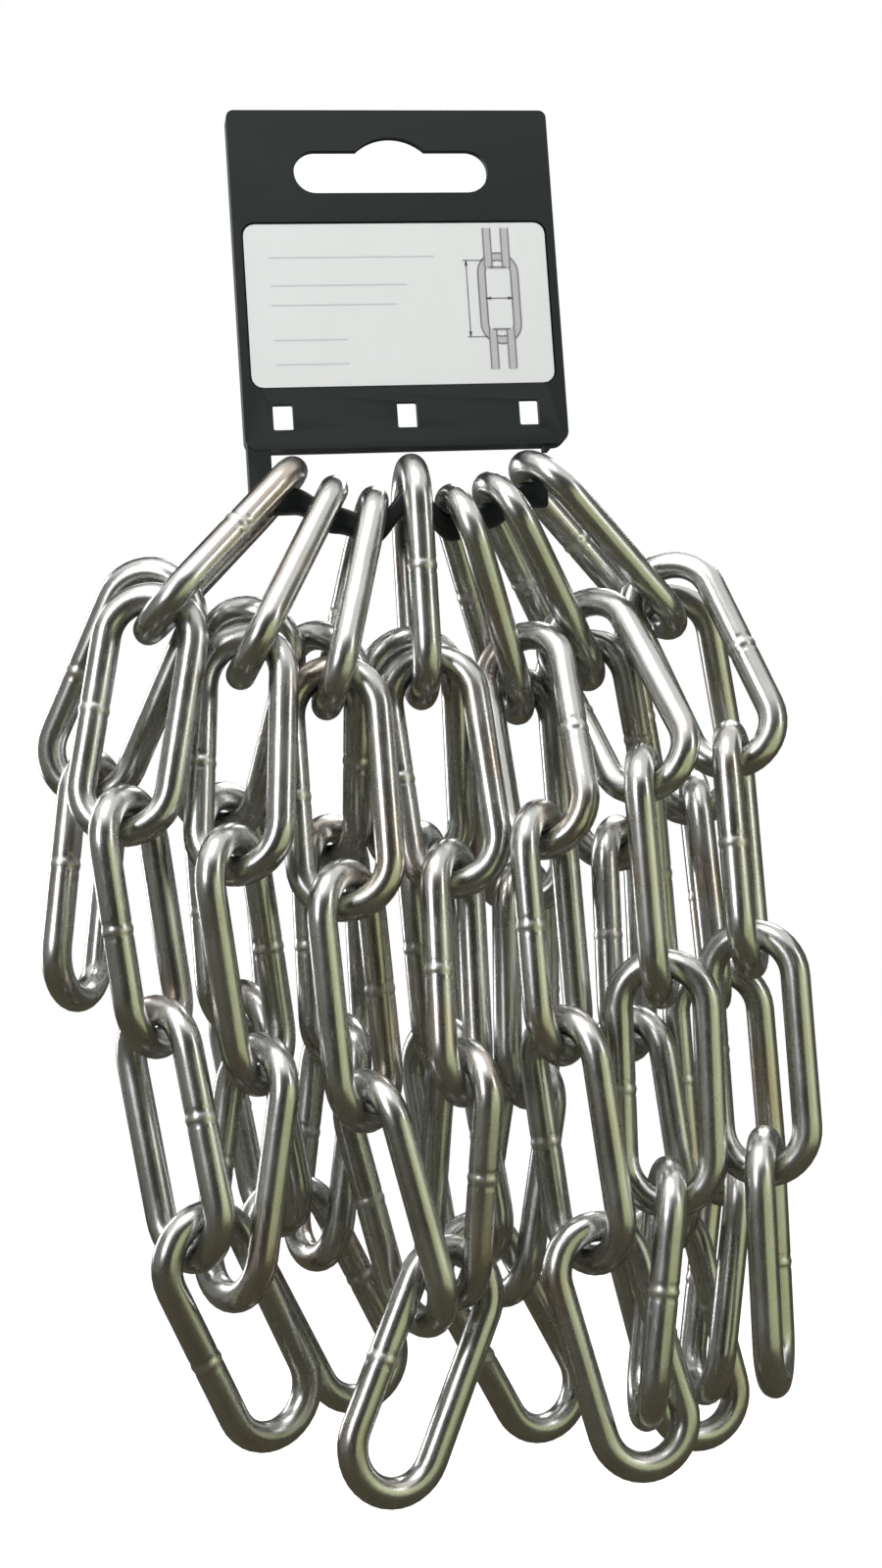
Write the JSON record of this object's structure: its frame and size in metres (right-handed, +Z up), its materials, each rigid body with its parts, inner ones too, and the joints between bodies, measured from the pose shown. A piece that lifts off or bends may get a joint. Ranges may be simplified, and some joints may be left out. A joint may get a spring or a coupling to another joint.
{
  "type": "long-link steel chain on a hang header",
  "caption": "Bright zinc-plated welded long-link chain of round steel wire, hung in loops from the rail of a black plastic hang header with a blank card label.",
  "frame": {"origin": "Top of the hang slot's hump, where a peg carries the header, in the middle of the header's depth.", "axes": "+Z up, +X to the right as the label is read, +Y to the back."},
  "size_m": [0.1288, 0.0507, 0.2381],
  "materials": {
    "zinc_steel": "bright zinc plating on drawn wire, with a weld ring on one leg of each link",
    "black_plastic": "satin moulded polypropylene",
    "label_card": "smooth coated card"
  },
  "bodies": {
    "header_body": {"header": "black_plastic", "label": "label_card"},
    "body_01": {"link_01": "zinc_steel"},
    "body_02": {"link_02": "zinc_steel"},
    "body_03": {"link_03": "zinc_steel"},
    "body_04": {"link_04": "zinc_steel"},
    "body_05": {"link_05": "zinc_steel"},
    "body_06": {"link_06": "zinc_steel"},
    "body_07": {"link_07": "zinc_steel"},
    "body_08": {"link_08": "zinc_steel"},
    "body_09": {"link_09": "zinc_steel"},
    "body_10": {"link_10": "zinc_steel"},
    "body_11": {"link_11": "zinc_steel"},
    "body_12": {"link_12": "zinc_steel"},
    "body_13": {"link_13": "zinc_steel"},
    "body_14": {"link_14": "zinc_steel"},
    "body_15": {"link_15": "zinc_steel"},
    "body_16": {"link_16": "zinc_steel"},
    "body_17": {"link_17": "zinc_steel"},
    "body_18": {"link_18": "zinc_steel"},
    "body_19": {"link_19": "zinc_steel"},
    "body_20": {"link_20": "zinc_steel"},
    "body_21": {"link_21": "zinc_steel"},
    "body_22": {"link_22": "zinc_steel"},
    "body_23": {"link_23": "zinc_steel"},
    "body_24": {"link_24": "zinc_steel"},
    "body_25": {"link_25": "zinc_steel"},
    "body_26": {"link_26": "zinc_steel"},
    "body_27": {"link_27": "zinc_steel"},
    "body_28": {"link_28": "zinc_steel"},
    "body_29": {"link_29": "zinc_steel"},
    "body_30": {"link_30": "zinc_steel"},
    "body_31": {"link_31": "zinc_steel"},
    "body_32": {"link_32": "zinc_steel"},
    "body_33": {"link_33": "zinc_steel"},
    "body_34": {"link_34": "zinc_steel"},
    "body_35": {"link_35": "zinc_steel"},
    "body_36": {"link_36": "zinc_steel"},
    "body_37": {"link_37": "zinc_steel"},
    "body_38": {"link_38": "zinc_steel"},
    "body_39": {"link_39": "zinc_steel"},
    "body_40": {"link_40": "zinc_steel"},
    "body_41": {"link_41": "zinc_steel"},
    "body_42": {"link_42": "zinc_steel"},
    "body_43": {"link_43": "zinc_steel"},
    "body_44": {"link_44": "zinc_steel"},
    "body_45": {"link_45": "zinc_steel"},
    "body_46": {"link_46": "zinc_steel"},
    "body_47": {"link_47": "zinc_steel"},
    "body_48": {"link_48": "zinc_steel"},
    "body_49": {"link_49": "zinc_steel"},
    "body_50": {"link_50": "zinc_steel"},
    "body_51": {"link_51": "zinc_steel"},
    "body_52": {"link_52": "zinc_steel"},
    "body_53": {"link_53": "zinc_steel"},
    "body_54": {"link_54": "zinc_steel"},
    "body_55": {"link_55": "zinc_steel"},
    "body_56": {"link_56": "zinc_steel"},
    "body_57": {"link_57": "zinc_steel"}
  },
  "joints": [
    {"name": "swing_01", "type": "hinge", "parent": "body_02", "child": "body_01", "pos_m": [-0.05754, 0.00536, -0.11478], "axis": [-0.8782, 0.4737, 0.0665], "range_deg": [-38, 38]},
    {"name": "swing_02", "type": "hinge", "parent": "body_03", "child": "body_02", "pos_m": [-0.04637, -0.00247, -0.08366], "axis": [0.3671, 0.924, 0.1073], "range_deg": [-8, 38]},
    {"name": "swing_03", "type": "hinge", "parent": "header_body", "child": "body_03", "pos_m": [-0.02558, 0, -0.06443], "axis": [-0.7234, 0, 0.6904], "range_deg": [-0.4, 0.7]},
    {"name": "swing_04", "type": "hinge", "parent": "body_03", "child": "body_04", "pos_m": [-0.04188, -0.00823, -0.0815], "axis": [0.7234, 0, -0.6904], "range_deg": [-0.5, 0.9]},
    {"name": "swing_05", "type": "hinge", "parent": "body_04", "child": "body_05", "pos_m": [-0.05215, -0.01191, -0.11326], "axis": [-0.2788, -0.9478, 0.1548], "range_deg": [-0.7, 1.2]},
    {"name": "swing_06", "type": "hinge", "parent": "body_05", "child": "body_06", "pos_m": [-0.04912, -0.0116, -0.1572], "axis": [-0.8108, -0.5843, -0.0349], "range_deg": [-1.4, 2.8]},
    {"name": "swing_07", "type": "hinge", "parent": "body_06", "child": "body_07", "pos_m": [-0.04342, -0.01441, -0.19026], "axis": [0.4725, -0.8755, -0.1013], "range_deg": [-4.5, 8]},
    {"name": "swing_08", "type": "hinge", "parent": "body_09", "child": "body_08", "pos_m": [-0.03412, -0.01263, -0.16424], "axis": [-0.8394, -0.5234, 0.1467], "range_deg": [-1.7, 3.7]},
    {"name": "swing_09", "type": "hinge", "parent": "body_10", "child": "body_09", "pos_m": [-0.03437, -0.01512, -0.12094], "axis": [0.5071, 0.8391, -0.1969], "range_deg": [-0.75, 1.4]},
    {"name": "swing_10", "type": "hinge", "parent": "body_11", "child": "body_10", "pos_m": [-0.03199, -0.01081, -0.09643], "axis": [-0.5071, -0.8391, 0.1969], "range_deg": [-0.5, 0.95]},
    {"name": "swing_11", "type": "hinge", "parent": "header_body", "child": "body_11", "pos_m": [-0.0173, 0, -0.06902], "axis": [0.8697, 0, -0.4936], "range_deg": [-0.1, 0.25]},
    {"name": "swing_12", "type": "hinge", "parent": "body_11", "child": "body_12", "pos_m": [-0.02978, -0.002, -0.09071], "axis": [-0.4889, -0.8051, -0.3359], "range_deg": [-0.1, 0.4]},
    {"name": "swing_13", "type": "hinge", "parent": "body_12", "child": "body_13", "pos_m": [-0.03557, 0.01027, -0.11171], "axis": [-0.4889, -0.8051, -0.3359], "range_deg": [-0.15, 0.6]},
    {"name": "swing_14", "type": "hinge", "parent": "body_13", "child": "body_14", "pos_m": [-0.0333, 0.01205, -0.15546], "axis": [-0.8837, -0.458, -0.0966], "range_deg": [-0.35, 1.4]},
    {"name": "swing_15", "type": "hinge", "parent": "body_14", "child": "body_15", "pos_m": [-0.02761, 0.01088, -0.18922], "axis": [0.3201, -0.9471, -0.0223], "range_deg": [-1.1, 4.2]},
    {"name": "swing_16", "type": "hinge", "parent": "body_17", "child": "body_16", "pos_m": [-0.01816, 0.01235, -0.16205], "axis": [0.8979, 0.4098, -0.1607], "range_deg": [-0.5, 1.6]},
    {"name": "swing_17", "type": "hinge", "parent": "body_18", "child": "body_17", "pos_m": [-0.0182, 0.00844, -0.11845], "axis": [0.6736, 0.6889, 0.2677], "range_deg": [-0.15, 0.6]},
    {"name": "swing_18", "type": "hinge", "parent": "body_19", "child": "body_18", "pos_m": [-0.01769, -0.00104, -0.09532], "axis": [0.6736, 0.6889, 0.2677], "range_deg": [-0.15, 0.4]},
    {"name": "swing_19", "type": "hinge", "parent": "header_body", "child": "body_19", "pos_m": [-0.00902, 0, -0.07167], "axis": [-0.9553, 0, 0.2957], "range_deg": [-0.1, 0.25]},
    {"name": "swing_20", "type": "hinge", "parent": "body_19", "child": "body_20", "pos_m": [-0.01589, -0.0092, -0.09387], "axis": [0.9553, 0, -0.2957], "range_deg": [-0.25, 0.35]},
    {"name": "swing_21", "type": "hinge", "parent": "body_20", "child": "body_21", "pos_m": [-0.01729, -0.01385, -0.1276], "axis": [-0.275, -0.9559, 0.1028], "range_deg": [-0.4, 0.6]},
    {"name": "swing_22", "type": "hinge", "parent": "body_21", "child": "body_22", "pos_m": [-0.01516, -0.01206, -0.1713], "axis": [0.8913, 0.4128, 0.1874], "range_deg": [-0.9, 2.2]},
    {"name": "swing_23", "type": "hinge", "parent": "body_22", "child": "body_23", "pos_m": [-0.01, -0.01209, -0.19576], "axis": [-0.8913, -0.4128, -0.1874], "range_deg": [-2.3, 19.5]},
    {"name": "swing_24", "type": "hinge", "parent": "body_25", "child": "body_24", "pos_m": [-0.00016, -0.01292, -0.16754], "axis": [-0.9229, -0.3818, 0.0504], "range_deg": [-0.9, 1.9]},
    {"name": "swing_25", "type": "hinge", "parent": "body_26", "child": "body_25", "pos_m": [0.00189, -0.00833, -0.1248], "axis": [0.2907, 0.9427, -0.1636], "range_deg": [-0.35, 0.55]},
    {"name": "swing_26", "type": "hinge", "parent": "body_27", "child": "body_26", "pos_m": [-0.00038, -0.00062, -0.09149], "axis": [-0.9999, 0, 0.0115], "range_deg": [-0.25, 0.35]},
    {"name": "swing_27", "type": "hinge", "parent": "header_body", "child": "body_27", "pos_m": [-0.00009, 0, -0.0665], "axis": [0.9999, 0, -0.0115], "range_deg": [-0.05, 0.2]},
    {"name": "swing_28", "type": "hinge", "parent": "body_27", "child": "body_28", "pos_m": [-0.00038, -0.00062, -0.09149], "axis": [0.9999, 0, -0.0115], "range_deg": [-0.05, 0.25]},
    {"name": "swing_29", "type": "hinge", "parent": "body_28", "child": "body_29", "pos_m": [-0.00025, 0.01028, -0.12979], "axis": [0.882, -0.4713, 0.005], "range_deg": [-0.15, 0.4]},
    {"name": "swing_30", "type": "hinge", "parent": "body_29", "child": "body_30", "pos_m": [0.0009, 0.01192, -0.16391], "axis": [-0.838, -0.5445, -0.0352], "range_deg": [-0.3, 0.8]},
    {"name": "swing_31", "type": "hinge", "parent": "body_30", "child": "body_31", "pos_m": [0.00418, 0.01003, -0.19824], "axis": [0.3546, -0.9338, -0.0468], "range_deg": [-0.8, 2.5]},
    {"name": "swing_32", "type": "hinge", "parent": "body_33", "child": "body_32", "pos_m": [0.01512, 0.0122, -0.17128], "axis": [-0.8778, -0.4356, 0.1996], "range_deg": [-0.35, 1.1]},
    {"name": "swing_33", "type": "hinge", "parent": "body_34", "child": "body_33", "pos_m": [0.01819, 0.01477, -0.13708], "axis": [-0.7801, 0.6254, 0.0163], "range_deg": [-0.15, 0.45]},
    {"name": "swing_34", "type": "hinge", "parent": "body_35", "child": "body_34", "pos_m": [0.01597, 0.00842, -0.09416], "axis": [-0.9554, 0, -0.2955], "range_deg": [-0.05, 0.25]},
    {"name": "swing_35", "type": "hinge", "parent": "header_body", "child": "body_35", "pos_m": [0.00902, 0, -0.07167], "axis": [-0.9554, 0, -0.2955], "range_deg": [-0.05, 0.15]},
    {"name": "swing_36", "type": "hinge", "parent": "body_35", "child": "body_36", "pos_m": [0.01597, 0.00842, -0.09416], "axis": [-0.9554, 0, -0.2955], "range_deg": [-0.05, 0.15]},
    {"name": "swing_37", "type": "hinge", "parent": "body_36", "child": "body_37", "pos_m": [0.01816, -0.00831, -0.11938], "axis": [-0.622, -0.7323, 0.2773], "range_deg": [-0.1, 0.25]},
    {"name": "swing_38", "type": "hinge", "parent": "body_37", "child": "body_38", "pos_m": [0.01771, -0.01139, -0.16328], "axis": [-0.8495, -0.5241, -0.0602], "range_deg": [-0.3, 0.65]},
    {"name": "swing_39", "type": "hinge", "parent": "body_38", "child": "body_39", "pos_m": [0.01968, -0.01172, -0.1882], "axis": [-0.8495, -0.5241, -0.0602], "range_deg": [-0.75, 1.7]},
    {"name": "swing_40", "type": "hinge", "parent": "body_41", "child": "body_40", "pos_m": [0.03245, -0.01179, -0.18951], "axis": [0.9774, -0.1228, -0.1723], "range_deg": [-0.7, 1.4]},
    {"name": "swing_41", "type": "hinge", "parent": "body_42", "child": "body_41", "pos_m": [0.03458, -0.01323, -0.14538], "axis": [0.9266, -0.3759, 0.0069], "range_deg": [-0.15, 0.4]},
    {"name": "swing_42", "type": "hinge", "parent": "body_43", "child": "body_42", "pos_m": [0.03419, -0.01375, -0.12039], "axis": [0.9266, -0.3759, 0.0069], "range_deg": [-0.1, 0.25]},
    {"name": "swing_43", "type": "hinge", "parent": "body_44", "child": "body_43", "pos_m": [0.02835, 0.01011, -0.08904], "axis": [0.8742, 0, 0.4856], "range_deg": [-0.05, 0.15]},
    {"name": "swing_44", "type": "hinge", "parent": "header_body", "child": "body_44", "pos_m": [0.01724, 0, -0.06906], "axis": [-0.8742, 0, -0.4856], "range_deg": [-0.05, 0.1]},
    {"name": "swing_45", "type": "hinge", "parent": "body_44", "child": "body_45", "pos_m": [0.02835, 0.01011, -0.08904], "axis": [-0.8742, 0, -0.4856], "range_deg": [-0.05, 0.15]},
    {"name": "swing_46", "type": "hinge", "parent": "body_45", "child": "body_46", "pos_m": [0.03695, 0.01675, -0.1302], "axis": [0.802, -0.597, 0.0197], "range_deg": [-0.15, 0.3]},
    {"name": "swing_47", "type": "hinge", "parent": "body_46", "child": "body_47", "pos_m": [0.03561, 0.01345, -0.16459], "axis": [-0.836, -0.5487, -0.0052], "range_deg": [-0.3, 0.55]},
    {"name": "swing_48", "type": "hinge", "parent": "body_47", "child": "body_48", "pos_m": [0.03708, 0.01145, -0.18947], "axis": [-0.836, -0.5487, -0.0052], "range_deg": [-0.95, 1.6]},
    {"name": "swing_49", "type": "hinge", "parent": "body_50", "child": "body_49", "pos_m": [0.05003, 0.01322, -0.19135], "axis": [0.9762, 0.0526, -0.2105], "range_deg": [-0.7, 1.3]},
    {"name": "swing_50", "type": "hinge", "parent": "body_51", "child": "body_50", "pos_m": [0.05129, 0.01178, -0.14735], "axis": [0.9774, -0.2102, 0.021], "range_deg": [-0.15, 0.3]},
    {"name": "swing_51", "type": "hinge", "parent": "body_52", "child": "body_51", "pos_m": [0.05165, 0.01591, -0.12269], "axis": [0.9774, -0.2102, 0.021], "range_deg": [-0.1, 0.25]},
    {"name": "swing_52", "type": "hinge", "parent": "body_53", "child": "body_52", "pos_m": [0.04201, 0.00733, -0.08178], "axis": [0.7254, 0, 0.6883], "range_deg": [-0.05, 0.15]},
    {"name": "swing_53", "type": "hinge", "parent": "header_body", "child": "body_53", "pos_m": [0.02556, 0, -0.06444], "axis": [0.7254, 0, 0.6883], "range_deg": [-0.05, 0.1]},
    {"name": "swing_54", "type": "hinge", "parent": "body_53", "child": "body_54", "pos_m": [0.04574, 0.00089, -0.08442], "axis": [-0.4537, -0.8699, 0.1933], "range_deg": [-0.5, 38]},
    {"name": "swing_55", "type": "hinge", "parent": "body_54", "child": "body_55", "pos_m": [0.05199, -0.00742, -0.10716], "axis": [-0.4537, -0.8699, 0.1933], "range_deg": [-0.65, 38]},
    {"name": "swing_56", "type": "hinge", "parent": "body_55", "child": "body_56", "pos_m": [0.051, -0.01158, -0.15117], "axis": [-0.5374, -0.8428, 0.0279], "range_deg": [-1.4, 38]},
    {"name": "swing_57", "type": "hinge", "parent": "body_56", "child": "body_57", "pos_m": [0.0504, -0.01229, -0.18579], "axis": [-0.8997, 0.4354, 0.0302], "range_deg": [-7.5, 38]}
  ]
}
